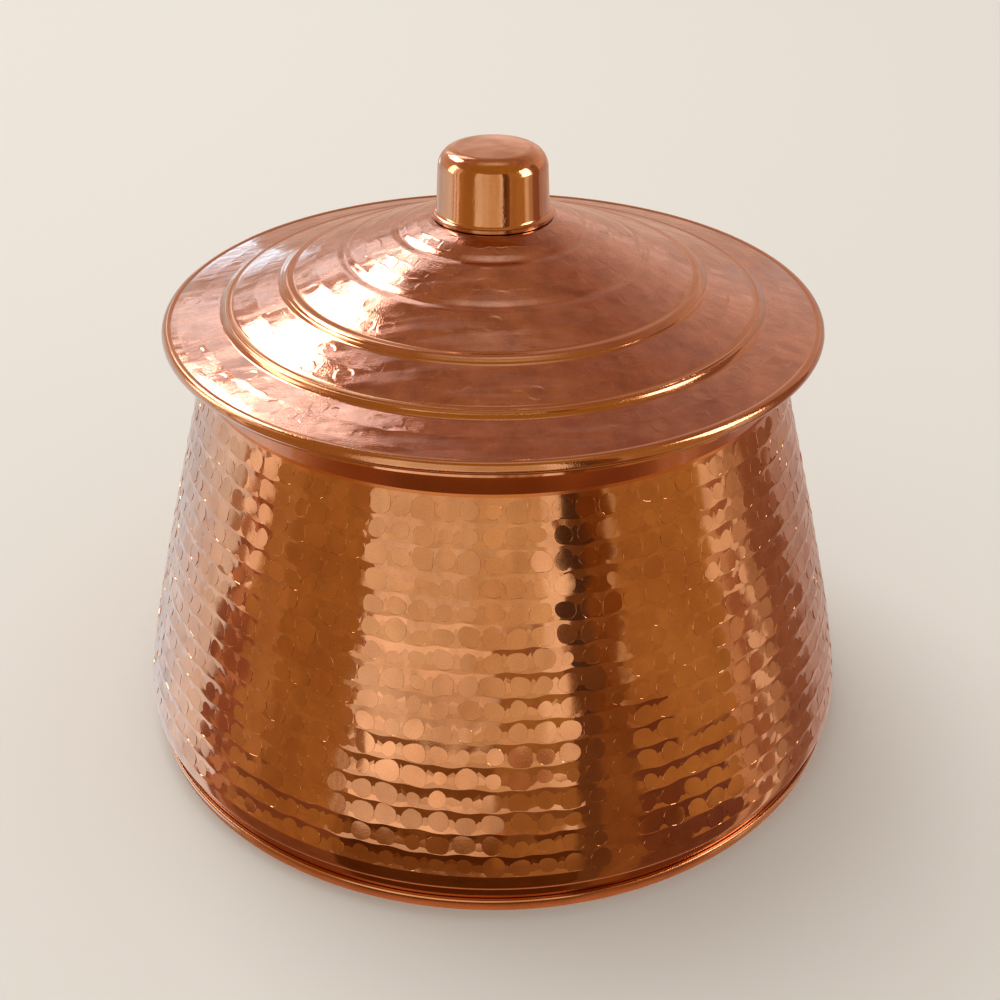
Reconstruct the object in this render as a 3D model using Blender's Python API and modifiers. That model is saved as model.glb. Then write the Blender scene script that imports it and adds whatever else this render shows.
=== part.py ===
"""A hammered copper cooking pot with a loose, stepped lid and a hollow knob.

Lengths are in metres and +Z is up. The origin is on the pot's upright axis, on the surface
that the pot stands on. Every piece is turned about that axis, so each one is a profile of
(radius, height) points. A lid piece's heights start at the lid's lowest line.
"""

import math

import bpy
import numpy as np

# Working clearance between two sheets or parts that touch
FIT_GAP = 0.0003
# How far a cutter runs past the faces that it cuts
CUT_OVERRUN = 0.0005

# Hammered wall of the pot, one copper sheet with its hem below and its lip above
WALL_SHEET = 0.0012
WALL_FOOT_RADIUS = 0.1200
WALL_FOOT_HEIGHT = 0.0110
NECK_RADIUS = 0.0909
NECK_HEIGHT = 0.1265
WALL_NECK_ANGLE = math.radians(15.8)
WALL_FOOT_ANGLE = math.radians(3.5)
# Lengths of the wall curve's two handles, as shares of the height from foot to neck
WALL_HANDLE_SHARES = (0.70, 0.09)
HEM_RADIUS = 0.0018
LIP_OVERHANG = 0.0077
LIP_HEIGHT = 0.1374
LIP_FLAT = 0.0022
# How far the flare has come out where its curve starts to level, as a share of its width
FLARE_TURN_SHARE = 0.38

# Bottom pan, whose upright flange stands inside the wall's hem
PAN_SHEET = 0.0012
GROOVE_DEPTH = 0.0024
PAN_STANDOFF = 0.0015
PAN_CORNER_RADIUS = 0.0030
PAN_FLANGE_HEIGHT = 0.0135

# Foot ring, a narrow band soldered round the pan's lower corner
FOOT_SHEET = 0.0010
FOOT_HEIGHT = 0.0043
FOOT_TAPER = 0.0007
FOOT_EDGE_RADIUS = 0.0006

# Lid, one spun and hammered copper sheet whose rolled rim reaches out over the lip.
# Its two bands follow each other inward from the rim, and its dome fills the rest.
LID_SHEET = 0.0008
RIM_REACH = 0.0029
RIM_ROLL_RADIUS = 0.0020
RIM_JOIN_ANGLE = math.radians(116.0)
RIM_END_ANGLE = math.radians(-190.0)
OUTER_BAND_WIDTH = 0.0199
OUTER_STEP_WIDTH = 0.0022
OUTER_STEP_RISE = 0.0014
INNER_BAND_WIDTH = 0.0185
INNER_STEP_WIDTH = 0.0026
INNER_STEP_RISE = 0.0013
OUTER_BAND_RISE = 0.0041
INNER_BAND_RISE = 0.0046
# The dome's two soft valleys, as shares of the way out from the knob's seat to the inner step
VALLEY_SHARES = (0.23, 0.63)
SEAT_RADIUS = 0.0190
SEAT_HEIGHT = 0.0324
BAND_CROWN = 0.0004
DOME_CROWN = 0.0004

# Wire that the rim is rolled over
WIRE_RADIUS = 0.0009

# Locating collar, which drops inside the pot's neck
COLLAR_SHEET = 0.0010
COLLAR_CLEARANCE = 0.0014
COLLAR_DROP = 0.0087
COLLAR_FLANGE = 0.0042

# Hollow knob
KNOB_SHEET = 0.0010
KNOB_RADIUS = 0.0170
KNOB_TAPER = 0.0006
KNOB_HEIGHT = 0.0207
KNOB_TOP_RADIUS = 0.0060
KNOB_CROWN = 0.0004
KNOB_FOOT_ROUND = 0.0014

# Threaded boss inside the knob, with the screw and the washer that hold it from below
BOSS_RADIUS = 0.0065
BOSS_HOLE_DEPTH = 0.0120
SCREW_RADIUS = 0.0020
SCREW_TIP_CHAMFER = 0.0005
SCREW_REACH = 0.0110
SCREW_HEAD_RADIUS = 0.0040
SCREW_HEAD_HEIGHT = 0.0022
SCREW_HEAD_ROUND = 0.0008
SLOT_WIDTH = 0.0011
SLOT_DEPTH = 0.0010
WASHER_RADIUS = 0.0075
WASHER_THICKNESS = 0.0010

# Faces round each turned piece
WIDE_STEPS = 48
KNOB_STEPS = 36
SMALL_STEPS = 24
WIRE_SIDES = 8

# Straight lines that stand for each curved stretch of a profile
WALL_STEPS = 8
FLARE_STEPS = 5
ROLL_STEPS = 11
RISER_STEPS = 4
BAND_STEPS = 3
SEAT_BAND_STEPS = 2
PAN_CORNER_STEPS = 4
SHOULDER_STEPS = 6
SMALL_CURVE_STEPS = 3

# Sizes that follow from the wall and from the lid's rim
PAN_RADIUS = WALL_FOOT_RADIUS - GROOVE_DEPTH
LIP_RADIUS = NECK_RADIUS + LIP_OVERHANG
LID_BASE_HEIGHT = LIP_HEIGHT + FIT_GAP
LID_RADIUS = LIP_RADIUS + RIM_REACH
OUTER_STEP_RADIUS = LID_RADIUS - OUTER_BAND_WIDTH
INNER_STEP_RADIUS = OUTER_STEP_RADIUS - INNER_BAND_WIDTH

COPPER_LINEAR = (0.62, 0.27, 0.14)
DARK_COPPER_LINEAR = (0.45, 0.17, 0.08)
BRASS_LINEAR = (0.62, 0.45, 0.18)
STEEL_LINEAR = (0.55, 0.55, 0.56)
MERGE_DISTANCE = 0.00001


def clear_scene():
    """Empty the scene of whatever the file opened with."""
    for obj in list(bpy.data.objects):
        bpy.data.objects.remove(obj, do_unlink=True)


def new_collection(name, hidden=False):
    """A collection of the scene, left out of renders when it holds cutters."""
    collection = bpy.data.collections.new(name)
    bpy.context.scene.collection.children.link(collection)
    collection.hide_render = hidden
    return collection


def metal(name, colour, roughness):
    """A plain metal with one colour and one roughness."""
    material = bpy.data.materials.new(name)
    material.use_nodes = True
    shader = material.node_tree.nodes["Principled BSDF"]
    shader.inputs["Base Color"].default_value = (*colour, 1.0)
    shader.inputs["Metallic"].default_value = 1.0
    shader.inputs["Roughness"].default_value = roughness
    material.diffuse_color = (*colour, 1.0)
    return material


def arc(centre, radius, start_angle, end_angle, steps):
    """Points on an arc about a centre, both ends included."""
    angle = np.linspace(start_angle, end_angle, steps + 1)
    return np.column_stack([centre[0] + radius * np.cos(angle), centre[1] + radius * np.sin(angle)])


def cubic(start, first_handle, second_handle, end, steps):
    """Points on a cubic Bezier curve, both ends included."""
    t = np.linspace(0.0, 1.0, steps + 1)[:, None]
    s = 1.0 - t
    points = [np.array(p) for p in (start, first_handle, second_handle, end)]
    return s**3 * points[0] + 3 * s * s * t * points[1] + 3 * s * t * t * points[2] + t**3 * points[3]


def turned(name, line, collection, parent, material, steps, closed=False):
    """An object turned about Z from a profile that runs down its outer side."""
    points = [(radius, 0.0, height) for radius, height in line]
    edges = [(i, i + 1) for i in range(len(points) - 1)]
    if closed:
        edges.append((len(points) - 1, 0))
    mesh = bpy.data.meshes.new(name)
    mesh.from_pydata(points, edges, [])
    obj = bpy.data.objects.new(name, mesh)
    collection.objects.link(obj)
    obj.parent = parent
    mesh.materials.append(material)
    screw = obj.modifiers.new("Turned", "SCREW")
    screw.axis = "Z"
    screw.angle = 2.0 * math.pi
    screw.steps = steps
    screw.render_steps = steps
    screw.use_smooth_shade = True
    screw.use_merge_vertices = True
    screw.merge_threshold = MERGE_DISTANCE
    return obj


def sheet_metal(obj, thickness):
    """Give a turned surface its sheet thickness, on the side that faces away from its outside."""
    solidify = obj.modifiers.new("Sheet", "SOLIDIFY")
    solidify.thickness = thickness
    solidify.offset = -1.0
    solidify.use_even_offset = True
    solidify.use_rim = True
    return obj


def wall_line():
    """The pot's outside from the lip's edge down to the hem that is turned in under the wall."""
    under_lip = LIP_HEIGHT - WALL_SHEET
    flare_end = LIP_RADIUS - LIP_FLAT
    flare_width = flare_end - NECK_RADIUS
    flare = cubic(
        (flare_end, under_lip),
        (NECK_RADIUS + FLARE_TURN_SHARE * flare_width, under_lip),
        (NECK_RADIUS + FLARE_TURN_SHARE * flare_width, under_lip),
        (NECK_RADIUS, NECK_HEIGHT),
        FLARE_STEPS,
    )
    rise = NECK_HEIGHT - WALL_FOOT_HEIGHT
    neck_handle = WALL_HANDLE_SHARES[0] * rise
    foot_handle = WALL_HANDLE_SHARES[1] * rise
    wall = cubic(
        (NECK_RADIUS, NECK_HEIGHT),
        (
            NECK_RADIUS + neck_handle * math.sin(WALL_NECK_ANGLE),
            NECK_HEIGHT - neck_handle * math.cos(WALL_NECK_ANGLE),
        ),
        (
            WALL_FOOT_RADIUS - foot_handle * math.sin(WALL_FOOT_ANGLE),
            WALL_FOOT_HEIGHT + foot_handle * math.cos(WALL_FOOT_ANGLE),
        ),
        (WALL_FOOT_RADIUS, WALL_FOOT_HEIGHT),
        WALL_STEPS,
    )
    hem_centre = (WALL_FOOT_RADIUS - HEM_RADIUS, WALL_FOOT_HEIGHT)
    hem = arc(hem_centre, HEM_RADIUS, 0.0, -0.5 * math.pi, SMALL_CURVE_STEPS)
    hem_end = [(PAN_RADIUS + FIT_GAP, WALL_FOOT_HEIGHT - HEM_RADIUS)]
    return np.vstack([[(LIP_RADIUS, under_lip)], flare, wall[1:], hem[1:], hem_end])


def pan_line():
    """The bottom pan's outside, from the top of its flange down and in to the axis."""
    centre = (PAN_RADIUS - PAN_CORNER_RADIUS, PAN_STANDOFF + PAN_CORNER_RADIUS)
    corner = arc(centre, PAN_CORNER_RADIUS, 0.0, -0.5 * math.pi, PAN_CORNER_STEPS)
    return np.vstack([[(PAN_RADIUS, PAN_FLANGE_HEIGHT)], corner, [(0.0, PAN_STANDOFF)]])


def foot_outline():
    """The foot ring's section, a band that leans in a little towards the surface below."""
    inner_top = PAN_RADIUS + FIT_GAP
    outer_top = inner_top + FOOT_SHEET
    centre = (outer_top - FOOT_EDGE_RADIUS, FOOT_HEIGHT - FOOT_EDGE_RADIUS)
    edge = arc(centre, FOOT_EDGE_RADIUS, 0.5 * math.pi, 0.0, SMALL_CURVE_STEPS)
    low = [(outer_top - FOOT_TAPER, 0.0), (inner_top - FOOT_TAPER, 0.0)]
    return np.vstack([[(inner_top, FOOT_HEIGHT)], edge, low])


def step_line(middle_radius, width, low, rise):
    """A rounded step of the lid, from its inner edge outward and down, half a cosine wave."""
    share = np.linspace(1.0, 0.0, RISER_STEPS + 1)
    radius = middle_radius + (0.5 - share) * width
    height = low + rise * (0.5 - 0.5 * np.cos(math.pi * share))
    return np.column_stack([radius, height])


def crowned_line(inner, outer, crown, steps):
    """A band of the lid between two points, bulging by the crown at its middle."""
    share = np.linspace(0.0, 1.0, steps + 1)
    radius = inner[0] + share * (outer[0] - inner[0])
    height = inner[1] + share * (outer[1] - inner[1]) + 4.0 * crown * share * (1.0 - share)
    return np.column_stack([radius, height])


def lid_line():
    """The lid's outside from the knob's seat outward to the rim's roll, and round the roll."""
    roll_centre = (LID_RADIUS - RIM_ROLL_RADIUS, RIM_ROLL_RADIUS)
    roll = arc(roll_centre, RIM_ROLL_RADIUS, RIM_JOIN_ANGLE, RIM_END_ANGLE, ROLL_STEPS)
    join = roll[0]
    outer_step_low = join[1] + OUTER_BAND_RISE
    outer_step_high = outer_step_low + OUTER_STEP_RISE
    inner_step_low = outer_step_high + INNER_BAND_RISE
    outer_step = step_line(OUTER_STEP_RADIUS, OUTER_STEP_WIDTH, outer_step_low, OUTER_STEP_RISE)
    inner_step = step_line(INNER_STEP_RADIUS, INNER_STEP_WIDTH, inner_step_low, INNER_STEP_RISE)
    seat_edge = np.array([SEAT_RADIUS, SEAT_HEIGHT])
    inner_valley, outer_valley = (seat_edge + share * (inner_step[0] - seat_edge) for share in VALLEY_SHARES)
    return np.vstack(
        [
            [(SCREW_RADIUS + FIT_GAP, SEAT_HEIGHT)],
            crowned_line(seat_edge, inner_valley, DOME_CROWN, SEAT_BAND_STEPS),
            crowned_line(inner_valley, outer_valley, DOME_CROWN, BAND_STEPS)[1:],
            crowned_line(outer_valley, inner_step[0], DOME_CROWN, BAND_STEPS)[1:],
            inner_step[1:],
            crowned_line(inner_step[-1], outer_step[0], BAND_CROWN, BAND_STEPS)[1:],
            outer_step[1:],
            crowned_line(outer_step[-1], join, BAND_CROWN, BAND_STEPS)[1:],
            roll[1:],
        ]
    )


def lid_outside_height(radius):
    """Height of the lid's outside at a radius between the knob's seat and the rim."""
    line = lid_line()
    outward = line[: line[:, 0].argmax() + 1]
    return float(np.interp(radius, outward[:, 0], outward[:, 1]))


def collar_line():
    """The locating collar's outside: a flange under the lid, then a skirt down into the neck."""
    radius = NECK_RADIUS - WALL_SHEET - COLLAR_CLEARANCE
    flange_end = radius - COLLAR_FLANGE
    slope = (lid_outside_height(flange_end) - lid_outside_height(radius)) / COLLAR_FLANGE
    under_lid = (LID_SHEET + FIT_GAP) * math.hypot(1.0, slope)
    return np.array(
        [
            (flange_end, lid_outside_height(flange_end) - under_lid),
            (radius, lid_outside_height(radius) - under_lid),
            (radius, -COLLAR_DROP),
        ]
    )


def knob_line():
    """The knob's outside, from its crowned top down its side and out to its small foot."""
    foot = SEAT_HEIGHT + FIT_GAP + KNOB_SHEET
    top = SEAT_HEIGHT + FIT_GAP + KNOB_HEIGHT
    upper_radius = KNOB_RADIUS - KNOB_TAPER
    centre = (upper_radius - KNOB_TOP_RADIUS, top - KNOB_CROWN - KNOB_TOP_RADIUS)
    crown = [(0.0, top), (0.5 * centre[0], top - 0.25 * KNOB_CROWN)]
    shoulder = arc(centre, KNOB_TOP_RADIUS, 0.5 * math.pi, 0.0, SHOULDER_STEPS)
    foot_centre = (KNOB_RADIUS + KNOB_FOOT_ROUND, foot + KNOB_FOOT_ROUND)
    fillet = arc(foot_centre, KNOB_FOOT_ROUND, math.pi, 1.5 * math.pi, SMALL_CURVE_STEPS)
    return np.vstack([crown, shoulder, fillet])


def boss_outline():
    """The boss's section, open below where the screw goes in."""
    low = SEAT_HEIGHT + FIT_GAP
    high = SEAT_HEIGHT + KNOB_HEIGHT - KNOB_SHEET - KNOB_CROWN
    hole = SCREW_RADIUS + FIT_GAP
    return np.array(
        [
            (0.0, high),
            (BOSS_RADIUS, high),
            (BOSS_RADIUS, low),
            (hole, low),
            (hole, low + BOSS_HOLE_DEPTH),
            (0.0, low + BOSS_HOLE_DEPTH),
        ]
    )


def washer_top():
    """Height of the washer's upper face, just under the lid's sheet."""
    return SEAT_HEIGHT - LID_SHEET - FIT_GAP


def washer_outline():
    """The washer's section."""
    high = washer_top()
    low = high - WASHER_THICKNESS
    hole = SCREW_RADIUS + FIT_GAP
    return np.array([(hole, high), (WASHER_RADIUS, high), (WASHER_RADIUS, low), (hole, low)])


def screw_line():
    """The screw's outside, from its tip down the shank and round its low head."""
    head_top = washer_top() - WASHER_THICKNESS - FIT_GAP
    head_low = head_top - SCREW_HEAD_HEIGHT
    tip = SEAT_HEIGHT + FIT_GAP + SCREW_REACH
    centre = (SCREW_HEAD_RADIUS - SCREW_HEAD_ROUND, head_low + SCREW_HEAD_ROUND)
    return np.vstack(
        [
            [(0.0, tip), (SCREW_RADIUS - SCREW_TIP_CHAMFER, tip)],
            [(SCREW_RADIUS, tip - SCREW_TIP_CHAMFER), (SCREW_RADIUS, head_top)],
            [(SCREW_HEAD_RADIUS, head_top)],
            arc(centre, SCREW_HEAD_ROUND, 0.0, -0.5 * math.pi, SMALL_CURVE_STEPS),
            [(0.0, head_low)],
        ]
    )


def slot_cutter(collection, parent):
    """A bar that cuts the screwdriver's slot across the screw's head."""
    head_low = washer_top() - WASHER_THICKNESS - FIT_GAP - SCREW_HEAD_HEIGHT
    bpy.ops.mesh.primitive_cube_add(size=1.0)
    cutter = bpy.context.object
    cutter.name = "slot_cutter"
    for owner in list(cutter.users_collection):
        owner.objects.unlink(cutter)
    collection.objects.link(cutter)
    cutter.parent = parent
    cutter.scale = (2.0 * (SCREW_HEAD_RADIUS + CUT_OVERRUN), SLOT_WIDTH, SLOT_DEPTH + CUT_OVERRUN)
    cutter.location = (0.0, 0.0, head_low + 0.5 * (SLOT_DEPTH - CUT_OVERRUN))
    cutter.hide_render = True
    cutter.display_type = "WIRE"
    return cutter


def rim_wire(collection, parent, material):
    """The ring of wire inside the rim's roll."""
    bpy.ops.mesh.primitive_torus_add(
        major_radius=LID_RADIUS - RIM_ROLL_RADIUS,
        minor_radius=WIRE_RADIUS,
        major_segments=WIDE_STEPS,
        minor_segments=WIRE_SIDES,
    )
    wire = bpy.context.object
    wire.name = "lid_rim_wire"
    for owner in list(wire.users_collection):
        owner.objects.unlink(wire)
    collection.objects.link(wire)
    wire.parent = parent
    wire.location = (0.0, 0.0, RIM_ROLL_RADIUS)
    wire.data.materials.append(material)
    wire.data.shade_smooth()
    return wire


def build():
    """Make the pot's pieces, then the lid's, each lot under its own empty."""
    clear_scene()
    pieces = new_collection("hammered_copper_pot")
    cutters = new_collection("cutters", hidden=True)
    pot = bpy.data.objects.new("pot_axis", None)
    lid = bpy.data.objects.new("lid_axis", None)
    for empty in (pot, lid):
        pieces.objects.link(empty)
    lid.location = (0.0, 0.0, LID_BASE_HEIGHT)

    hammered = metal("hammered_copper", COPPER_LINEAR, 0.28)
    spun = metal("spun_copper", DARK_COPPER_LINEAR, 0.32)
    polished = metal("polished_copper", COPPER_LINEAR, 0.18)
    drawn = metal("drawn_copper_wire", DARK_COPPER_LINEAR, 0.4)
    brass = metal("turned_brass", BRASS_LINEAR, 0.3)
    steel = metal("zinc_plated_steel", STEEL_LINEAR, 0.35)

    wall = turned("body_wall", wall_line(), pieces, pot, hammered, WIDE_STEPS)
    sheet_metal(wall, WALL_SHEET)
    pan = turned("bottom_pan", pan_line(), pieces, pot, spun, WIDE_STEPS)
    sheet_metal(pan, PAN_SHEET)
    turned("foot_ring", foot_outline(), pieces, pot, spun, WIDE_STEPS, closed=True)

    shell = turned("lid_shell", lid_line(), pieces, lid, hammered, WIDE_STEPS)
    sheet_metal(shell, LID_SHEET)
    rim_wire(pieces, lid, drawn)
    collar = turned("lid_collar", collar_line(), pieces, lid, spun, WIDE_STEPS)
    sheet_metal(collar, COLLAR_SHEET)

    knob = turned("knob", knob_line(), pieces, lid, polished, KNOB_STEPS)
    sheet_metal(knob, KNOB_SHEET)
    turned("knob_boss", boss_outline(), pieces, lid, brass, SMALL_STEPS)
    turned("knob_washer", washer_outline(), pieces, lid, brass, SMALL_STEPS, closed=True)
    screw = turned("knob_screw", screw_line(), pieces, lid, steel, SMALL_STEPS)
    slot = screw.modifiers.new("Slot", "BOOLEAN")
    slot.operation = "DIFFERENCE"
    slot.solver = "EXACT"
    slot.object = slot_cutter(cutters, lid)


build()
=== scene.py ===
import math

import bmesh
import bpy
import numpy as np
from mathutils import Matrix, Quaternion, Vector

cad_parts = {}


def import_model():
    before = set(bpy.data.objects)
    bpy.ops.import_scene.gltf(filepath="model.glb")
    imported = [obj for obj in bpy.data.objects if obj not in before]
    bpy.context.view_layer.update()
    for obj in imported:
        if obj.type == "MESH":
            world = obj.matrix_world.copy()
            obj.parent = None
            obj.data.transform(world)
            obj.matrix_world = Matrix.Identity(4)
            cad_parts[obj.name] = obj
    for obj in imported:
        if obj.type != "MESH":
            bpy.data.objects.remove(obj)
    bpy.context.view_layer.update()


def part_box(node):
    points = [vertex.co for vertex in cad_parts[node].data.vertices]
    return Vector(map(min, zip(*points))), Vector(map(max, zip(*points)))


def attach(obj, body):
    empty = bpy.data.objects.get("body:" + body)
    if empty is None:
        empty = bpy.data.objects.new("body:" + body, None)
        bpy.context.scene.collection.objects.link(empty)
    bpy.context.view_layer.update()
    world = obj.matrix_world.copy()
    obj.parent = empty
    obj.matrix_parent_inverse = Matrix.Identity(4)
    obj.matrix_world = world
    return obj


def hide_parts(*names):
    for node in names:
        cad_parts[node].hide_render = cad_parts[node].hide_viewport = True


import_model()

# Lengths are in metres. Outer sizes are read from the frame, and the rest are the pot's own sizes.
# Here are the gap between sheets that lie together, how near points are welded, and the least
# angle at which an edge is sharp
SHEET_GAP = 0.0003
WELD_DISTANCE = 0.000002
CORNER_ANGLE = math.radians(20.0)

WALL_LOW, WALL_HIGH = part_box("body_wall")
WALL_SHEET = 0.0012
WALL_FOOT_RADIUS = WALL_HIGH.x
LIP_HEIGHT = WALL_HIGH.z
HEM_RADIUS = 0.0018
WALL_FOOT_HEIGHT = WALL_LOW.z + HEM_RADIUS
NECK_RADIUS = 0.0909
NECK_HEIGHT = 0.1265
WALL_NECK_ANGLE = math.radians(15.8)
WALL_FOOT_ANGLE = math.radians(3.5)
# Lengths of the wall curve's two handles, as shares of the height from foot to neck
WALL_HANDLE_SHARES = (0.70, 0.09)
LIP_OVERHANG = 0.0077
LIP_FLAT = 0.0022
# How far the flare has come out where its curve starts to level, as a share of its width
FLARE_TURN_SHARE = 0.38

PAN_LOW, PAN_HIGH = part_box("bottom_pan")
PAN_SHEET = 0.0012
PAN_RADIUS = PAN_HIGH.x
PAN_CORNER_RADIUS = 0.0030

FOOT_LOW, FOOT_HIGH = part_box("foot_ring")
FOOT_SHEET = 0.0010
FOOT_TAPER = 0.0007
FOOT_EDGE_RADIUS = 0.0006

LID_LOW, LID_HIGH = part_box("lid_shell")
LID_SHEET = 0.0008
LID_RADIUS = LID_HIGH.x
# The rim's roll: its radius, and the angles where the outer band joins it and where it ends
RIM_ROLL_RADIUS = 0.0020
RIM_JOIN_ANGLE = math.radians(116.0)
RIM_END_ANGLE = math.radians(-190.0)
OUTER_BAND_WIDTH = 0.0199
OUTER_STEP_RISE = 0.0014
INNER_BAND_WIDTH = 0.0185
INNER_STEP_RISE = 0.0013
# The bands rise a little less and more than the solids', as the light on them shows
OUTER_BAND_RISE = 0.00345
INNER_BAND_RISE = 0.0054
# The dome's two soft valleys, as shares of the way out from the knob's seat to the inner ring
VALLEY_SHARES = (0.23, 0.63)
SEAT_RADIUS = 0.0190
SEAT_HEIGHT = LID_HIGH.z
# How far the bands and the dome's parts bulge at their middle
BAND_CROWN = 0.0001
DOME_CROWN = 0.0002
SCREW_HOLE_RADIUS = 0.0023

COLLAR_LOW, COLLAR_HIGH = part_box("lid_collar")
COLLAR_SHEET = 0.0010
COLLAR_FLANGE = 0.0042

KNOB_LOW, KNOB_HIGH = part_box("knob")
KNOB_SHEET = 0.0010
KNOB_RADIUS = 0.0170
KNOB_TAPER = 0.0006
KNOB_TOP_RADIUS = 0.0060
KNOB_CROWN = 0.0004
KNOB_FOOT_ROUND = 0.0014

# Hammer marks stand in rows and columns. A mark has a radius with a random spread, and its
# dish fills the flat share of it. The groove is the depth between two rows. Marks tilt down the
# profile and lean at random (both as slopes), drift in their cells, and wander with their rows
# and columns. The wave is the random height between the marks
WALL_MARK_ROWS = 16
WALL_MARK_COLUMNS = 94
WALL_MARKS_SEED = 11
WALL_MARKS = dict(
    radius=0.0030, spread=0.17, flat=0.98, groove=0.00030, tilt=0.032, lean=0.014, dish=0.00002,
    drift=0.0003, wander=0.0005, wave=0.000015,
)
LID_MARKS = dict(
    radius=0.0027, spread=0.16, flat=0.76, groove=0.00005, tilt=0.005, lean=0.009, dish=0.000018,
    drift=0.0004, wander=0.0005, wave=0.00001,
)
# A mark keeps within these shares of its cell, and its size within these shares of its radius.
# It sits a little below the middle of its cell, and its dish's depth spreads and is held to limits
MARK_ROOM = (0.02, 0.98)
MARK_SIZE_LIMITS = (0.55, 1.2)
MARK_DROP_SHARE = 0.06
DISH_SPREAD = 0.5
DISH_LIMITS = (0.1, 2.2)
# Where the surface is hammered, edges are sharp from this smaller angle on
MARK_EDGE_ANGLE = math.radians(1.6)
# A row's groove: knots at these shares of the row, with these shares of its depth
GROOVE_SHARES = (0.0, 0.2, 0.4, 0.8, 1.0)
GROOVE_DEPTHS = (0.0, -0.55, -1.0, -0.62, 0.0)
# How rows and columns wander: sines a turn, as shares of the columns, and their drift down a row
WANDER_TURN_SHARES = np.array([0.31, 0.77])
WANDER_DRIFTS = (1.9, -1.3)

# Plain stretches of the wall above and below its marks
WALL_SMOOTH_NECK = 0.0009
WALL_SMOOTH_FOOT = 0.0040
# Plain margins beside the lid's marks: how wide, and how deep a trough at the end away from them
KNOB_MARGIN = (0.0012, 0.0)
VALLEY_MARGIN = (0.0024, 0.00016)
RING_MARGIN = (0.0005, 0.0)
RIM_MARGIN = (0.0022, 0.0)
# Each hammered band of the lid: its inner and outer margins, rows, columns and seed
LID_BANDS = dict(
    crown=(KNOB_MARGIN, VALLEY_MARGIN, 2, 28, 21),
    shoulder=(VALLEY_MARGIN, VALLEY_MARGIN, 3, 44, 22),
    dome=(VALLEY_MARGIN, RING_MARGIN, 2, 58, 23),
    inner_band=(RING_MARGIN, RING_MARGIN, 2, 78, 24),
    outer_band=(RING_MARGIN, RIM_MARGIN, 2, 96, 25),
)
# A ring on the lid: its slope in degrees, its width and swell, and its fine raised beads, with
# where their middle lies across the ring, how wide they are together, their rise and number
INNER_RING = dict(
    slope=22.0, width=0.0050, swell=0.00054, spot=0.0014, bead=0.0009, rise=0.00010, beads=1
)
OUTER_RING = dict(
    slope=27.0, width=0.0040, swell=0.00048, spot=0.0001, bead=0.0017, rise=0.00014, beads=2
)

# Points round each turned surface, and along each side of a mark's cell
MARK_SIDE_STEPS = 5
SEAT_COLUMNS = 150
KNOB_COLUMNS = 180
LINING_COLUMNS = 200
RING_COLUMNS = 270
WIDE_COLUMNS = 360
# Even steps along the curves and straight lines of the profiles
LIP_STEPS = 2
FLARE_STEPS = 12
WALL_STEPS = 160
HEM_STEPS = 7
SEAT_STEPS = 4
CROWN_STEPS = 40
BAND_STEPS = 60
RING_STEPS = 52
ROLL_STEPS = 30
KNOB_STEPS = 12
KNOB_SHOULDER_STEPS = 24
KNOB_SIDE_STEPS = 10
PAN_FLANGE_STEPS = 4
PAN_STEPS = 12
FOOT_EDGE_STEPS = 6
COLLAR_FLANGE_STEPS = 8
COLLAR_SKIRT_STEPS = 6
# Distances between points: on the wall under its marks, above and below them and inside, and
# on the lid under its marks, in its margins and inside. The roll's inside takes every third point
WALL_MARKED_STEP = 0.0005
WALL_NECK_STEP = 0.0003
WALL_FOOT_STEP = 0.0008
WALL_LINING_STEP = 0.009
LID_MARKED_STEP = 0.0003
LID_MARGIN_STEP = 0.0004
LID_LINING_STEP = 0.0015
ROLL_LINING_STRIDE = 3

# A piece's materials by number: its main copper, the tin inside, and its lip's or rings' copper, which
# hold painted shade on the lip and a painted golden reflection on the rings
MAIN, INSIDE, TRIM = 0, 1, 2


def linear(hex_colour):
    """An sRGB hex colour turned to linear red, green, blue and alpha: each part p from 0 to 1
    becomes p / 12.92 when it is dark, and else ((p + 0.055) / 1.055) to the power 2.4."""
    parts = [int(hex_colour[i : i + 2], 16) / 255.0 for i in (1, 3, 5)]
    return tuple(p / 12.92 if p <= 0.04045 else ((p + 0.055) / 1.055) ** 2.4 for p in parts) + (1.0,)


def added(name, data):
    """A new object in the scene that holds this mesh, light or camera."""
    obj = bpy.data.objects.new(name, data)
    bpy.context.scene.collection.objects.link(obj)
    return obj


# Profiles: points of (radius, height) worked out as whole arrays


def arc(centre, radius, start_angle, end_angle, steps):
    """Points on a circle: centre plus radius times (cosine, sine) of evenly spaced angles."""
    angle = np.linspace(start_angle, end_angle, steps + 1)
    return np.column_stack([centre[0] + radius * np.cos(angle), centre[1] + radius * np.sin(angle)])


def cubic(start, first_handle, second_handle, end, steps):
    """Points on a cubic Bezier curve: the four points weighted by s³, 3s²t, 3st² and t³."""
    t = np.linspace(0.0, 1.0, steps + 1)[:, None]
    s = 1.0 - t
    points = [np.array(p) for p in (start, first_handle, second_handle, end)]
    return s**3 * points[0] + 3 * s * s * t * points[1] + 3 * s * t * t * points[2] + t**3 * points[3]


def straight(start, end, steps):
    """Evenly spaced points on a straight line, both ends included."""
    return np.linspace(np.array(start, float), np.array(end, float), steps + 1)


def chain(*lines):
    """Lines joined end to end, each one's first point left out where it repeats the last."""
    return np.vstack([lines[0]] + [line[1:] for line in lines[1:]])


def normals_of(line):
    """Unit normals out of the sheet, for a line that runs outward and down: its tangent (r, z)
    turned to (-z, r)."""
    tangent = np.gradient(line, axis=0)
    tangent /= np.linalg.norm(tangent, axis=1, keepdims=True)
    return np.column_stack([-tangent[:, 1], tangent[:, 0]])


def lengths_along(line):
    """Distance of each point from the line's start, measured along the line."""
    return np.concatenate([[0.0], np.cumsum(np.linalg.norm(np.diff(line, axis=0), axis=1))])


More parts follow.
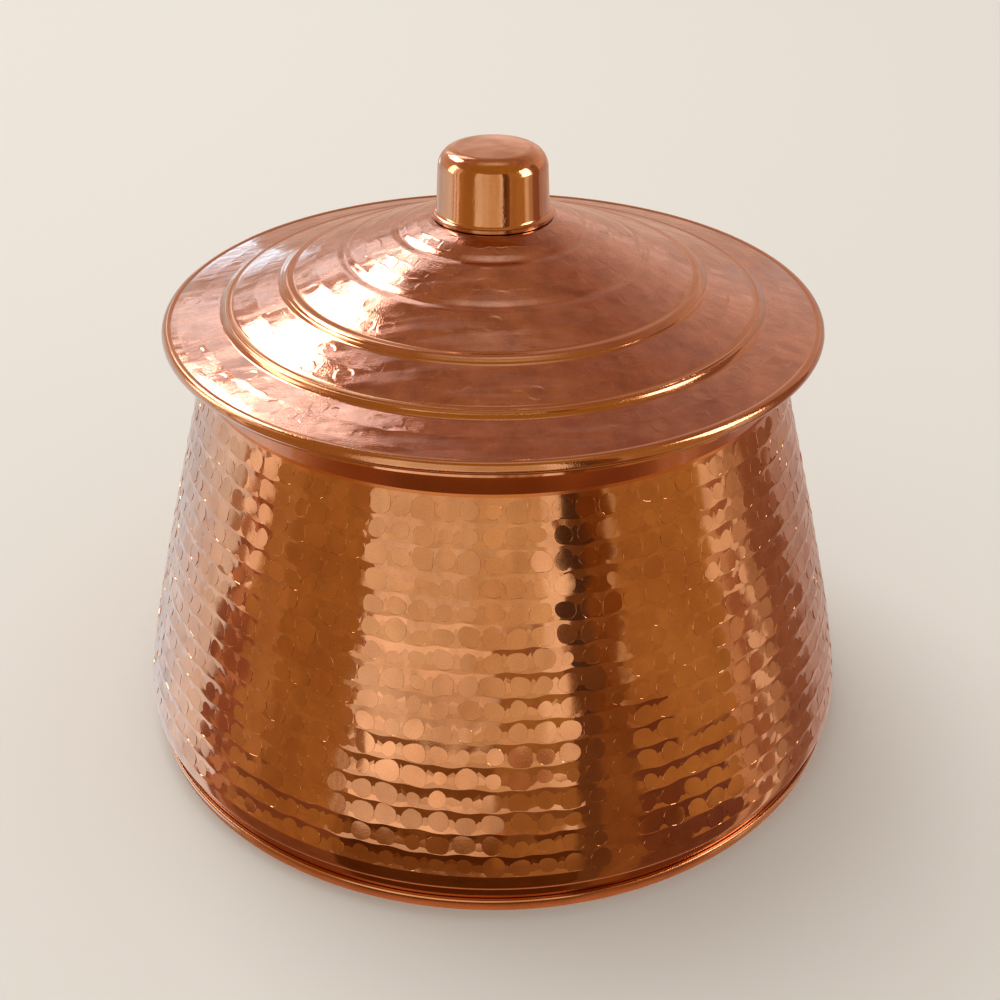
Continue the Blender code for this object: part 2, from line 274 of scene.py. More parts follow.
def part_of(line, start, end, step):
    """The stretch of a line between two distances along it, read at even steps."""
    along = lengths_along(line)
    at = np.linspace(start, end, max(1, round((end - start) / step)) + 1)
    return np.column_stack([np.interp(at, along, line[:, k]) for k in (0, 1)])


def inside_of(line, thickness):
    """The sheet's other face, run backwards: each point moved along the normal by the thickness."""
    return (line - thickness * normals_of(line))[::-1]


def troughed(line, depth, start, end):
    """A line lowered by the depth times sin²(pi u), with u running from start to end along it."""
    share = lengths_along(line) / lengths_along(line)[-1]
    wave = np.sin(math.pi * (start + (end - start) * share)) ** 2
    return line - depth * wave[:, None] * normals_of(line)


# Surfaces: blocks of (points, faces, material number, whether hammered), welded into closed meshes


def turned_block(line, columns, material=MAIN):
    """A profile turned about Z: each point (r, z) becomes r cos a, r sin a, z at every angle a."""
    angle = np.arange(columns) * (2.0 * math.pi / columns)
    radius, height = line[:, 0][:, None], line[:, 1][:, None]
    points = np.stack([radius * np.cos(angle), radius * np.sin(angle), height + 0.0 * angle], axis=-1)
    row = np.arange(len(line) - 1)[:, None] * columns
    here = np.arange(columns)[None, :]
    there = (here + 1) % columns
    faces = np.stack([row + here, row + there, row + columns + there, row + columns + here], axis=-1)
    return points.reshape(-1, 3), faces.reshape(-1, 4), material, False


def joining_block(upper, upper_columns, lower, lower_columns, material=MAIN):
    """A strip between two rings of unlike counts. Each edge of a ring makes a triangle with
    the point of the other ring that lies nearest to the middle of that edge."""
    rings = []
    for (radius, height), columns in ((upper, upper_columns), (lower, lower_columns)):
        angle = np.arange(columns) * (2.0 * math.pi / columns)
        ring = [radius * np.cos(angle), radius * np.sin(angle), height + 0.0 * angle]
        rings.append(np.column_stack(ring))
    i = np.arange(upper_columns)
    j = np.arange(lower_columns)
    nearest_low = np.floor((i + 0.5) * lower_columns / upper_columns + 0.5).astype(int) % lower_columns
    nearest_up = np.ceil((j + 0.5) * upper_columns / lower_columns - 0.5).astype(int) % upper_columns
    down = np.column_stack([i, (i + 1) % upper_columns, upper_columns + nearest_low])
    up = np.column_stack([upper_columns + (j + 1) % lower_columns, upper_columns + j, nearest_up])
    return np.vstack(rings), np.vstack([down, up]), material, False


def hammered_block(line, rows, columns, marks, seed):
    """A turned band of hammer marks in rows and columns.

    A point at distance s along the profile and angle a is the smooth turned surface, moved
    along its normal by a height. Between the marks the height is the row's groove, read from
    its knots, plus a random height at each cell's four corners, spread evenly between them.
    Each mark is a round leaning dish with a crease for its outline: a plane at the mean height
    of its rim, plus the dish's depth times the squared share of the radius less one. Rows and
    columns wander sideways by a sum of two sines of s and a.
    """
    random = np.random.default_rng(seed)
    along = lengths_along(line)
    normal = normals_of(line)
    pitch = along[-1] / rows
    step = 2.0 * math.pi / columns
    row = np.arange(rows)[:, None, None]
    column = np.arange(columns)[None, :, None]
    shape = (rows, columns, 1)
    width = step * np.interp((row + 0.5) * pitch, along, line[:, 0])
    middle_across = 0.5 + random.normal(0.0, marks["drift"], shape) / width
    middle_down = 0.5 + MARK_DROP_SHARE + random.normal(0.0, marks["drift"], shape) / pitch
    radius = marks["radius"] * np.clip(random.normal(1.0, marks["spread"], shape), *MARK_SIZE_LIMITS)
    lean_across = random.normal(0.0, marks["lean"], shape)
    lean_down = random.normal(marks["tilt"], marks["lean"], shape)
    dish = marks["dish"] * np.clip(random.normal(1.0, DISH_SPREAD, shape), *DISH_LIMITS)
    corner = random.normal(0.0, marks["wave"], (rows + 1, columns))
    corner[[0, -1]] = 0.0
    turns = np.round(columns * WANDER_TURN_SHARES).astype(int)
    phases = random.uniform(0.0, 2.0 * math.pi, (2, len(turns)))

    def surround(across, down):
        """Height between the marks at shares across and down each cell."""
        upper, lower = corner[:-1, :, None], corner[1:, :, None]
        upper = upper + (np.roll(upper, -1, axis=1) - upper) * across
        lower = lower + (np.roll(lower, -1, axis=1) - lower) * across
        groove = marks["groove"] * np.interp(down, GROOVE_SHARES, GROOVE_DEPTHS)
        return groove + upper + (lower - upper) * down

    def place(across, down, height):
        """The point at shares across and down each cell, moved out by a height."""
        distance = (row + down) * pitch
        angle = (column + across) * step
        hold = marks["wander"] * np.clip(np.minimum(distance, along[-1] - distance) / pitch, 0.0, 1.0)
        waves = [
            np.sin(turn * angle + phases[:, k, None, None, None] + WANDER_DRIFTS[k] * distance / pitch)
            for k, turn in enumerate(turns)
        ]
        slip_down, slip_across = sum(waves) / len(turns)
        distance = distance + hold * slip_down
        angle = angle + hold * slip_across / np.interp(distance, along, line[:, 0])
        r = np.interp(distance, along, line[:, 0]) + height * np.interp(distance, along, normal[:, 0])
        z = np.interp(distance, along, line[:, 1]) + height * np.interp(distance, along, normal[:, 1])
        return np.stack([r * np.cos(angle), r * np.sin(angle), z], axis=-1)

    side = np.linspace(0.0, 1.0, MARK_SIDE_STEPS + 1)[:-1]
    whole = 1.0 + 0.0 * side
    border_across = np.concatenate([side, whole, 1.0 - side, 0.0 * side])
    border_down = np.concatenate([0.0 * side, side, whole, 1.0 - side])
    around = np.arctan2(border_down - 0.5, border_across - 0.5)
    rim_across = np.clip(middle_across + radius / width * np.cos(around), *MARK_ROOM)
    rim_down = np.clip(middle_down + radius / pitch * np.sin(around), *MARK_ROOM)
    rim_height = surround(rim_across, rim_down)
    level = rim_height.mean(axis=2, keepdims=True)

    def dish_height(share):
        """Height of the mark's leaning dish at a share of the way from its middle to its rim."""
        plane = lean_across * (rim_across - middle_across) * width
        plane = plane + lean_down * (rim_down - middle_down) * pitch
        return level + share * plane + dish * (share**2 - 1.0)

    flat_across = middle_across + marks["flat"] * (rim_across - middle_across)
    flat_down = middle_down + marks["flat"] * (rim_down - middle_down)
    points = np.concatenate(
        [
            place(middle_across, middle_down, dish_height(0.0)[:, :, :1]),
            place(flat_across, flat_down, dish_height(marks["flat"])),
            place(rim_across, rim_down, rim_height),
            place(border_across, border_down, surround(border_across, border_down)),
        ],
        axis=2,
    )

    count = 4 * MARK_SIDE_STEPS
    here = np.arange(count)
    there = (here + 1) % count
    fan = np.column_stack([0 * here, 1 + here, 1 + there, 1 + there])
    strips = [
        np.column_stack([first + here, first + count + here, first + count + there, first + there])
        for first in (1, 1 + count)
    ]
    cell = np.vstack([fan] + strips)
    first_point = np.arange(rows * columns) * points.shape[2]
    faces = first_point[:, None, None] + cell[None]
    return points.reshape(-1, 3), faces.reshape(-1, 4), MAIN, True


def crease(mesh):
    """Make edges sharp where two faces meet at a corner, or at a hammer mark's small angle.
    In a closed mesh each edge lies in two faces, so the loops sorted by edge fall in pairs."""
    edges = np.empty(len(mesh.loops), np.int32)
    sizes = np.empty(len(mesh.polygons), np.int32)
    normals = np.empty(3 * len(mesh.polygons), np.float32)
    marked = np.empty(len(mesh.polygons), bool)
    sharp = np.empty(len(mesh.edges), bool)
    mesh.loops.foreach_get("edge_index", edges)
    mesh.polygons.foreach_get("loop_total", sizes)
    mesh.polygons.foreach_get("normal", normals)
    mesh.attributes["marked"].data.foreach_get("value", marked)
    normals = normals.reshape(-1, 3)
    pairs = np.repeat(np.arange(len(sizes)), sizes)[np.argsort(edges, kind="stable")].reshape(-1, 2)
    cosine = (normals[pairs[:, 0]] * normals[pairs[:, 1]]).sum(axis=1)
    limit = np.where(marked[pairs].any(axis=1), math.cos(MARK_EDGE_ANGLE), math.cos(CORNER_ANGLE))
    sharp[:] = cosine < limit
    mesh.attributes.new("sharp_edge", "BOOLEAN", "EDGE")
    mesh.attributes["sharp_edge"].data.foreach_set("value", sharp)


def closed_mesh(name, blocks, materials, body, replaced):
    """One closed mesh from its blocks, welded where they meet, riding on its body. A face that
    names its last corner twice is a triangle."""
    points = []
    faces = []
    numbers = []
    hammered = []
    first = 0
    for block_points, block_faces, material, is_hammered in blocks:
        points.append(block_points)
        faces += (block_faces + first).tolist()
        numbers += [material] * len(block_faces)
        hammered += [is_hammered] * len(block_faces)
        first += len(block_points)
    faces = [face[:3] if len(face) == 4 and face[2] == face[3] else face for face in faces]
    mesh = bpy.data.meshes.new(name)
    mesh.from_pydata(np.vstack(points).tolist(), [], faces)
    mesh.polygons.foreach_set("material_index", np.array(numbers, dtype=np.int32))
    mesh.attributes.new("marked", "BOOLEAN", "FACE")
    mesh.attributes["marked"].data.foreach_set("value", np.array(hammered, dtype=bool))
    for material in materials:
        mesh.materials.append(material)
    welded = bmesh.new()
    welded.from_mesh(mesh)
    bmesh.ops.remove_doubles(welded, verts=welded.verts, dist=WELD_DISTANCE)
    if welded.calc_volume(signed=True) < 0.0:
        bmesh.ops.reverse_faces(welded, faces=welded.faces)
    welded.to_mesh(mesh)
    welded.free()
    mesh.shade_smooth()
    crease(mesh)
    obj = added(name, mesh)
    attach(obj, body)
    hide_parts(replaced)


def wall_outside():
    """The wall's outside in three stretches: the lip's flat and a cubic flare down to the neck, a
    cubic curve from neck to foot that starts and ends at its two angles from upright, and a
    quarter-round hem with a straight edge turned in."""
    under_lip = LIP_HEIGHT - WALL_SHEET
    lip_radius = NECK_RADIUS + LIP_OVERHANG
    flare_end = lip_radius - LIP_FLAT
    turn = NECK_RADIUS + FLARE_TURN_SHARE * (flare_end - NECK_RADIUS)
    neck = (NECK_RADIUS, NECK_HEIGHT)
    flare = cubic((flare_end, under_lip), (turn, under_lip), (turn, under_lip), neck, FLARE_STEPS)
    flare = chain(straight((lip_radius, under_lip), (flare_end, under_lip), LIP_STEPS), flare)
    rise = NECK_HEIGHT - WALL_FOOT_HEIGHT
    neck_handle = WALL_HANDLE_SHARES[0] * rise
    foot_handle = WALL_HANDLE_SHARES[1] * rise
    below_neck = (
        NECK_RADIUS + neck_handle * math.sin(WALL_NECK_ANGLE),
        NECK_HEIGHT - neck_handle * math.cos(WALL_NECK_ANGLE),
    )
    above_foot = (
        WALL_FOOT_RADIUS - foot_handle * math.sin(WALL_FOOT_ANGLE),
        WALL_FOOT_HEIGHT + foot_handle * math.cos(WALL_FOOT_ANGLE),
    )
    wall = cubic(neck, below_neck, above_foot, (WALL_FOOT_RADIUS, WALL_FOOT_HEIGHT), WALL_STEPS)
    centre = (WALL_FOOT_RADIUS - HEM_RADIUS, WALL_FOOT_HEIGHT)
    hem = arc(centre, HEM_RADIUS, 0.0, -0.5 * math.pi, HEM_STEPS)
    hem = chain(hem, straight(hem[-1], (PAN_RADIUS + SHEET_GAP, hem[-1][1]), 1))
    return flare, wall, hem


def body_wall(copper, tin, painted_shade_lip_copper):
    """The pot's hammered wall: its outside turned about Z, with rows of marks between plain
    stretches, and a tinned inside one sheet's thickness within."""
    flare, wall, hem = wall_outside()
    columns = WALL_MARK_COLUMNS * MARK_SIDE_STEPS
    length = lengths_along(wall)[-1]
    below_lip = part_of(wall, 0.0, WALL_SMOOTH_NECK, WALL_NECK_STEP)
    marked = part_of(wall, WALL_SMOOTH_NECK, length - WALL_SMOOTH_FOOT, WALL_MARKED_STEP)
    above_hem = part_of(wall, length - WALL_SMOOTH_FOOT, length, WALL_FOOT_STEP)
    outside = chain(flare, part_of(wall, 0.0, length, WALL_LINING_STEP), hem)
    inside = inside_of(outside, WALL_SHEET)
    blocks = [
        turned_block(chain(flare, below_lip), columns, TRIM),
        hammered_block(marked, WALL_MARK_ROWS, WALL_MARK_COLUMNS, WALL_MARKS, WALL_MARKS_SEED),
        turned_block(chain(above_hem, hem), columns),
        joining_block(outside[-1], columns, inside[0], LINING_COLUMNS),
        turned_block(inside, LINING_COLUMNS, INSIDE),
        joining_block(inside[-1], LINING_COLUMNS, outside[0], columns),
    ]
    coats = [copper, tin, painted_shade_lip_copper]
    closed_mesh("hammered_wall", blocks, coats, "pot", "body_wall")


def ring_line(radius, height, slope, width, swell, spot, bead, rise, beads):
    """A ring swells from an even slope by swell times cos²(pi x / width), x across its width.
    Its beads stand on that, by rise times sin²(pi n u), with u from 0 to 1 across them."""
    across = np.linspace(-0.5 * width, 0.5 * width, RING_STEPS + 1)
    share = (across - spot) / bead + 0.5
    on_beads = (share >= 0.0) & (share <= 1.0)
    up = (
        height
        - math.tan(math.radians(slope)) * across
        + swell * np.cos(math.pi * across / width) ** 2
        + on_beads * rise * np.sin(math.pi * beads * share) ** 2
    )
    return np.column_stack([radius + across, up])


def crowned_line(inner, outer, crown, steps):
    """A band between two points, bulging by the crown at its middle as a parabola."""
    share = np.linspace(0.0, 1.0, steps + 1)
    points = straight(inner, outer, steps)
    points[:, 1] += 4.0 * crown * share * (1.0 - share)
    return points


def lid_lines():
    """The lid's outside in stretches from the knob's seat outward. Crowned bands climb inward
    from the rim's roll, by each band's rise and then by the rise of the ring's step."""
    base = LID_LOW.z
    roll_centre = (LID_RADIUS - RIM_ROLL_RADIUS, base + RIM_ROLL_RADIUS)
    roll = arc(roll_centre, RIM_ROLL_RADIUS, RIM_JOIN_ANGLE, RIM_END_ANGLE, ROLL_STEPS)
    outer_radius = LID_RADIUS - OUTER_BAND_WIDTH
    inner_radius = outer_radius - INNER_BAND_WIDTH
    outer_low = roll[0][1] + OUTER_BAND_RISE
    inner_low = outer_low + OUTER_STEP_RISE + INNER_BAND_RISE
    outer_ring = ring_line(outer_radius, outer_low + 0.5 * OUTER_STEP_RISE, **OUTER_RING)
    inner_ring = ring_line(inner_radius, inner_low + 0.5 * INNER_STEP_RISE, **INNER_RING)
    seat = np.array([SEAT_RADIUS, SEAT_HEIGHT])
    valleys = [seat + share * (inner_ring[0] - seat) for share in VALLEY_SHARES]
    return dict(
        seat=straight((SCREW_HOLE_RADIUS, SEAT_HEIGHT), seat, SEAT_STEPS),
        crown=crowned_line(seat, valleys[0], DOME_CROWN, CROWN_STEPS),
        shoulder=crowned_line(valleys[0], valleys[1], DOME_CROWN, BAND_STEPS),
        dome=crowned_line(valleys[1], inner_ring[0], DOME_CROWN, BAND_STEPS),
        inner_ring=inner_ring,
        inner_band=crowned_line(inner_ring[-1], outer_ring[0], BAND_CROWN, BAND_STEPS),
        outer_ring=outer_ring,
        outer_band=crowned_line(outer_ring[-1], roll[0], BAND_CROWN, BAND_STEPS),
        roll=roll,
    )


def lid_shell(copper, tin, painted_reflection_ring_copper):
    """The lid: its stretches turned about Z, hammered in the bands and smooth in the rings, the
    seat and the roll, and a tinned inside one sheet's thickness within."""
    lines = lid_lines()
    blocks = []
    previous = None

    def smooth(line, columns, material=MAIN):
        """A plain stretch, joined to the one before it where their counts differ."""
        nonlocal previous
        if previous is not None and previous[1] != columns:
            blocks.append(joining_block(previous[0], previous[1], line[1], columns, material))
            line = line[1:]
        if len(line) > 1:
            blocks.append(turned_block(line, columns, material))
        previous = (line[-1], columns)

    def banded(line, before, after, rows, columns, seed):
        """A band with plain margins at both sides of its rows of hammer marks."""
        length = lengths_along(line)[-1]
        inner = part_of(line, 0.0, before[0], LID_MARGIN_STEP)
        marked = part_of(line, before[0], length - after[0], LID_MARKED_STEP)
        outer = part_of(line, length - after[0], length, LID_MARGIN_STEP)
        smooth(troughed(inner, before[1], 0.5, 1.0), columns * MARK_SIDE_STEPS)
        blocks.append(hammered_block(marked, rows, columns, LID_MARKS, seed))
        smooth(troughed(outer, after[1], 0.0, 0.5), columns * MARK_SIDE_STEPS)

    smooth(lines["seat"], SEAT_COLUMNS)
    middle = list(lines)[1:-1]
    for name in middle:
        if name in LID_BANDS:
            banded(lines[name], *LID_BANDS[name])
        else:
            smooth(lines[name], RING_COLUMNS, TRIM)
    smooth(lines["roll"], RING_COLUMNS, TRIM)
    coarse = [
        part_of(lines[name], 0.0, lengths_along(lines[name])[-1], LID_LINING_STEP) for name in middle
    ]
    outside = chain(lines["seat"][[0, -1]], *coarse, lines["roll"][::ROLL_LINING_STRIDE])
    inside = inside_of(outside, LID_SHEET)
    blocks += [
        joining_block(outside[-1], RING_COLUMNS, inside[0], LINING_COLUMNS),
        turned_block(inside, LINING_COLUMNS, INSIDE),
        joining_block(inside[-1], LINING_COLUMNS, outside[0], SEAT_COLUMNS),
    ]
    coats = [copper, tin, painted_reflection_ring_copper]
    closed_mesh("hammered_lid", blocks, coats, "lid", "lid_shell")


def knob(copper):
    """The hollow knob: a top that falls with the square of the radius, a quarter-round shoulder,
    a straight side and a quarter-round turned-out foot, all turned about Z."""
    foot = KNOB_LOW.z + KNOB_SHEET
    top = KNOB_HIGH.z
    centre = (KNOB_RADIUS - KNOB_TAPER - KNOB_TOP_RADIUS, top - KNOB_CROWN - KNOB_TOP_RADIUS)
    share = np.linspace(0.0, 1.0, KNOB_STEPS + 1)
    crown = np.column_stack([share * centre[0], top - KNOB_CROWN * share * share])
    shoulder = arc(centre, KNOB_TOP_RADIUS, 0.5 * math.pi, 0.0, KNOB_SHOULDER_STEPS)
    foot_centre = (KNOB_RADIUS + KNOB_FOOT_ROUND, foot + KNOB_FOOT_ROUND)
    fillet = arc(foot_centre, KNOB_FOOT_ROUND, math.pi, 1.5 * math.pi, KNOB_SIDE_STEPS)
    side = straight(shoulder[-1], fillet[0], KNOB_SIDE_STEPS)
    outside = chain(crown, shoulder, side, fillet)
    inside = inside_of(outside, KNOB_SHEET)
    inside[-1, 0] = 0.0
    edge = np.vstack([outside[-1], inside[0]])
    blocks = [turned_block(line, KNOB_COLUMNS) for line in (outside, edge, inside)]
    closed_mesh("turned_knob", blocks, [copper], "lid", "knob")


def bottom_pan(copper, tin):
    """The bottom pan: an upright flange inside the wall's hem, a quarter-round corner and a flat
    bottom, turned about Z, with a tinned inside."""
    low = PAN_LOW.z
    centre = (PAN_RADIUS - PAN_CORNER_RADIUS, low + PAN_CORNER_RADIUS)
    corner = arc(centre, PAN_CORNER_RADIUS, 0.0, -0.5 * math.pi, PAN_STEPS)
    flange = straight((PAN_RADIUS, PAN_HIGH.z), corner[0], PAN_FLANGE_STEPS)
    outside = chain(flange, corner, straight(corner[-1], (0.0, low), PAN_STEPS))
    inside = inside_of(outside, PAN_SHEET)
    inside[0, 0] = 0.0
    blocks = [
        turned_block(outside, WIDE_COLUMNS),
        turned_block(inside, WIDE_COLUMNS, INSIDE),
        turned_block(np.vstack([inside[-1], outside[0]]), WIDE_COLUMNS),
    ]
    closed_mesh("spun_bottom", blocks, [copper, tin], "pot", "bottom_pan")


def foot_ring(copper):
    """The foot ring: a thin outline that leans in by its taper, with a rounded upper edge,
    turned about Z."""
    outer_top = FOOT_HIGH.x
    inner_top = outer_top - FOOT_SHEET
    centre = (outer_top - FOOT_EDGE_RADIUS, FOOT_HIGH.z - FOOT_EDGE_RADIUS)
    edge = arc(centre, FOOT_EDGE_RADIUS, 0.5 * math.pi, 0.0, FOOT_EDGE_STEPS)
    corner = (inner_top, FOOT_HIGH.z)
    outer_low = (outer_top - FOOT_TAPER, FOOT_LOW.z)
    inner_low = (inner_top - FOOT_TAPER, FOOT_LOW.z)
    outline = np.vstack([[corner], edge, [outer_low, inner_low, corner]])
    blocks = [turned_block(outline, WIDE_COLUMNS)]
    closed_mesh("foot_band", blocks, [copper], "pot", "foot_ring")


def lid_collar(copper):
    """The locating collar under the lid: a flange a small gap below the lid's inside, measured
    square to its slope, then a straight skirt down into the neck, turned about Z."""
    radius = COLLAR_HIGH.x
    outside = chain(*lid_lines().values())
    outward = outside[: outside[:, 0].argmax() + 1]
    at = np.linspace(radius - COLLAR_FLANGE, radius, COLLAR_FLANGE_STEPS + 1)
    slope = np.interp(at, outward[:, 0], np.gradient(outward[:, 1]) / np.gradient(outward[:, 0]))
    under = np.interp(at, outward[:, 0], outward[:, 1]) - (LID_SHEET + SHEET_GAP) * np.hypot(1.0, slope)
    flange = np.column_stack([at, under])
    line = chain(flange, straight(flange[-1], (radius, COLLAR_LOW.z), COLLAR_SKIRT_STEPS))
    inner = inside_of(line, COLLAR_SHEET)
    low_edge = np.vstack([line[-1], inner[0]])
    high_edge = np.vstack([inner[-1], line[0]])
    blocks = [turned_block(part, WIDE_COLUMNS) for part in (line, low_edge, inner, high_edge)]
    closed_mesh("collar_band", blocks, [copper], "lid", "lid_collar")


# Materials

# Patterns in cells a metre, worked out from real sizes, and the stretch of a pattern's values
# over which its share runs from none to all. The copper's clouds of tone are 22 mm across, and
# 7 mm on the lid. Its grain is 0.4 mm, drawn coarser than the real one so that it shows, and it
# stands out in patches of 17 mm
TONE_CELLS = 45.0
LID_TONE_CELLS = 150.0
TONE_STRETCH = {"From Min": 0.32, "From Max": 0.68}
GRAIN_CELLS = 2400.0
PATCH_CELLS = 60.0
PATCH_STRETCH = {"From Min": 0.50, "From Max": 0.68}
# How much of the tone comes from the grain, and how much of its height is left between patches
GRAIN_SHARE = 0.5
LEAST_GRAIN = 0.2
LACQUER_ROUGHNESS = 0.06
# Streaks rubbed into the lid: 4 mm wide, drawn out to eight times that along their run, turned
# this way round, and standing up by this much
STREAK_CELLS = 260.0
STREAK_STRETCH = {"From Min": 0.42, "From Max": 0.60}
STREAK_SCALES = (0.12, 1.0, 1.0)
STREAK_TURN = math.radians(-40.0)
STREAK_HEIGHT = 0.00002
# Clouds of tone in the small metals, 2.5 mm across, and in the wiped tin, 29 mm
METAL_CELLS = 400.0
TIN_CELLS = 35.0
# The places of a colour mix's two colours among its inputs, and of the mixed one it gives
FIRST, SECOND, MIXED = 6, 7, 2


def add_node(tree, kind, inputs=None, **settings):
    """Add a node, with its settings, and each input set to a value or linked to a socket."""
    node = tree.nodes.new(kind)
    for name, value in settings.items():
        setattr(node, name, value)
    for socket, value in (inputs or {}).items():
        if isinstance(value, bpy.types.NodeSocket):
            tree.links.new(value, node.inputs[socket])
        else:
            node.inputs[socket].default_value = value
    return node


def new_material(name):
    """An empty node material and its Principled shader."""
    material = bpy.data.materials.new(name)
    material.use_nodes = True
    return material, material.node_tree, material.node_tree.nodes["Principled BSDF"]


def copper(name, light, dark, roughness, coat, speckle, tone_cells=TONE_CELLS, streaks=()):
    """Copper under clear lacquer: two close tones mixed by clouds and grain, and a fine speckle
    as high as the grain times its patches. Streaks set the gloss of the sockets they name."""
    material, tree, shader = new_material(name)
    place = add_node(tree, "ShaderNodeTexCoord").outputs["Object"]
    cloud = add_node(tree, "ShaderNodeTexNoise", {"Vector": place, "Scale": tone_cells, "Detail": 4.0})
    patch = add_node(tree, "ShaderNodeTexNoise", {"Vector": place, "Scale": PATCH_CELLS, "Detail": 2.0})
    grain = add_node(tree, "ShaderNodeTexNoise", {"Vector": place, "Scale": GRAIN_CELLS, "Detail": 1.0})
    cloud_share = add_node(
        tree,
        "ShaderNodeMapRange",
        {"Value": cloud.outputs["Fac"], **TONE_STRETCH, "To Max": 1.0 - GRAIN_SHARE},
    )
    patch_share = add_node(
        tree,
        "ShaderNodeMapRange",
        {"Value": patch.outputs["Fac"], **PATCH_STRETCH, "To Min": LEAST_GRAIN},
    )
    mottle = add_node(
        tree,
        "ShaderNodeMath",
        {0: grain.outputs["Fac"], 1: GRAIN_SHARE, 2: cloud_share.outputs["Result"]},
        operation="MULTIPLY_ADD",
    )
    tone = add_node(
        tree,
        "ShaderNodeMix",
        {"Factor": mottle.outputs[0], FIRST: linear(dark), SECOND: linear(light)},
        data_type="RGBA",
    )
    height = add_node(
        tree,
        "ShaderNodeMath",
        {0: grain.outputs["Fac"], 1: patch_share.outputs["Result"]},
        operation="MULTIPLY",
    )
    bump = add_node(tree, "ShaderNodeBump", {"Height": height.outputs[0], "Distance": speckle})
    tree.links.new(tone.outputs[MIXED], shader.inputs["Base Color"])
    tree.links.new(bump.outputs["Normal"], shader.inputs["Normal"])
    shader.inputs["Metallic"].default_value = 1.0
    shader.inputs["Roughness"].default_value = roughness
    shader.inputs["Coat Weight"].default_value = coat
    shader.inputs["Coat Roughness"].default_value = LACQUER_ROUGHNESS
    if streaks:
        turned = {"Vector": place, "Rotation": (0.0, 0.0, STREAK_TURN), "Scale": STREAK_SCALES}
        along = add_node(tree, "ShaderNodeMapping", turned).outputs[0]
        drawn_out = {"Vector": along, "Scale": STREAK_CELLS, "Detail": 2.0}
        streak = add_node(tree, "ShaderNodeTexNoise", drawn_out)
        share = streak.outputs["Fac"]
        for socket, low, high in streaks:
            rough = add_node(
                tree,
                "ShaderNodeMapRange",
                {"Value": share, **STREAK_STRETCH, "To Min": low, "To Max": high},
            )
            tree.links.new(rough.outputs["Result"], shader.inputs[socket])
        rubbed = add_node(
            tree,
            "ShaderNodeBump",
            {"Height": share, "Distance": STREAK_HEIGHT, "Normal": bump.outputs["Normal"]},
        )
        tree.links.new(rubbed.outputs["Normal"], shader.inputs["Normal"])
        tree.links.new(rubbed.outputs["Normal"], shader.inputs["Coat Normal"])
    return material


def clouded_metal(name, light, dark, low_roughness, high_roughness, cells, detail):
    """A plain metal: clouds mix its two close tones and, by the same share, its two roughnesses."""
    material, tree, shader = new_material(name)
    place = add_node(tree, "ShaderNodeTexCoord").outputs["Object"]
    cloud = add_node(tree, "ShaderNodeTexNoise", {"Vector": place, "Scale": cells, "Detail": detail})
    tone = add_node(
        tree,
        "ShaderNodeMix",
        {"Factor": cloud.outputs["Fac"], FIRST: linear(dark), SECOND: linear(light)},
        data_type="RGBA",
    )
    rough = add_node(
        tree,
        "ShaderNodeMapRange",
        {"Value": cloud.outputs["Fac"], "To Min": low_roughness, "To Max": high_roughness},
    )
    tree.links.new(tone.outputs[MIXED], shader.inputs["Base Color"])
    tree.links.new(rough.outputs["Result"], shader.inputs["Roughness"])
    shader.inputs["Metallic"].default_value = 1.0
    return material


# Each copper has a light and a dark tone, its roughness, how much lacquer coats it, and how high
# its speckle stands

# The wall: sheet copper hammered mark by mark over a stake, polished and lacquered. A pale rosy
# orange that mirrors the room sharply in every mark
hammered_copper = copper(
    "lacquered_hammered_copper", "#CE8E5E", "#AA6636", 0.09, coat=0.6, speckle=0.000008
)
# The neck and lip: turned out over a stake and brushed, which softens their gloss.
# Their deeper, redder orange is painted shade: the wall's copper darkened for the band under the lid's
# rim
painted_shade_lip_copper = copper("brushed_lip_in_painted_shade", "#C87740", "#AF6030", 0.26, coat=0.3, speckle=0.00003)
# The lid's bands: lightly hammered, rubbed by hand and lacquered. A red brown with fine streaks
# that break up the bright light on it
lid_copper = copper(
    "lacquered_lid_copper",
    "#CC8B6A",
    "#985A40",
    0.10,
    coat=1.0,
    speckle=0.00005,
    tone_cells=LID_TONE_CELLS,
    streaks=(("Roughness", 0.09, 0.20), ("Coat Roughness", 0.05, 0.30)),
)
# The lid's rings, seat and roll: pressed in and burnished. Thin bright lines, a little uneven.
# Their tone, more golden than the lid's copper, is a painted golden reflection of the warm light high in
# front
painted_reflection_ring_copper = copper("burnished_ring_with_painted_reflection", "#C4865A", "#AE6E46", 0.12, coat=0.6, speckle=0.00006)
# The bottom pan and the lid's collar: spun on a lathe. A plain strong orange with some gloss
spun_copper = copper("spun_copper", "#C0763F", "#A8602C", 0.14, coat=0.4, speckle=0.00003)
# The foot ring: burnished and lacquered, with wide soft glints.
# Its paler tone is a painted highlight: the copper lightened for the bright band at the foot
painted_highlight_foot_copper = copper("burnished_foot_with_painted_highlight", "#D2905A", "#BE7A46", 0.18, coat=1.0, speckle=0.00003)
# The knob: turned, polished and lacquered. A clean gloss with upright bands of light
polished_copper = copper("polished_copper", "#CC8A58", "#B57446", 0.12, coat=0.8, speckle=0.00005)
# The inside of wall, bottom and lid: tin melted on and wiped by hand. Grey, soft and cloudy
tin = clouded_metal("hand_wiped_tin", "#C4C3BE", "#9B9A96", 0.28, 0.45, TIN_CELLS, detail=5.0)

body_wall(hammered_copper, tin, painted_shade_lip_copper)
bottom_pan(spun_copper, tin)
foot_ring(painted_highlight_foot_copper)
lid_shell(lid_copper, tin, painted_reflection_ring_copper)
lid_collar(spun_copper)
knob(polished_copper)

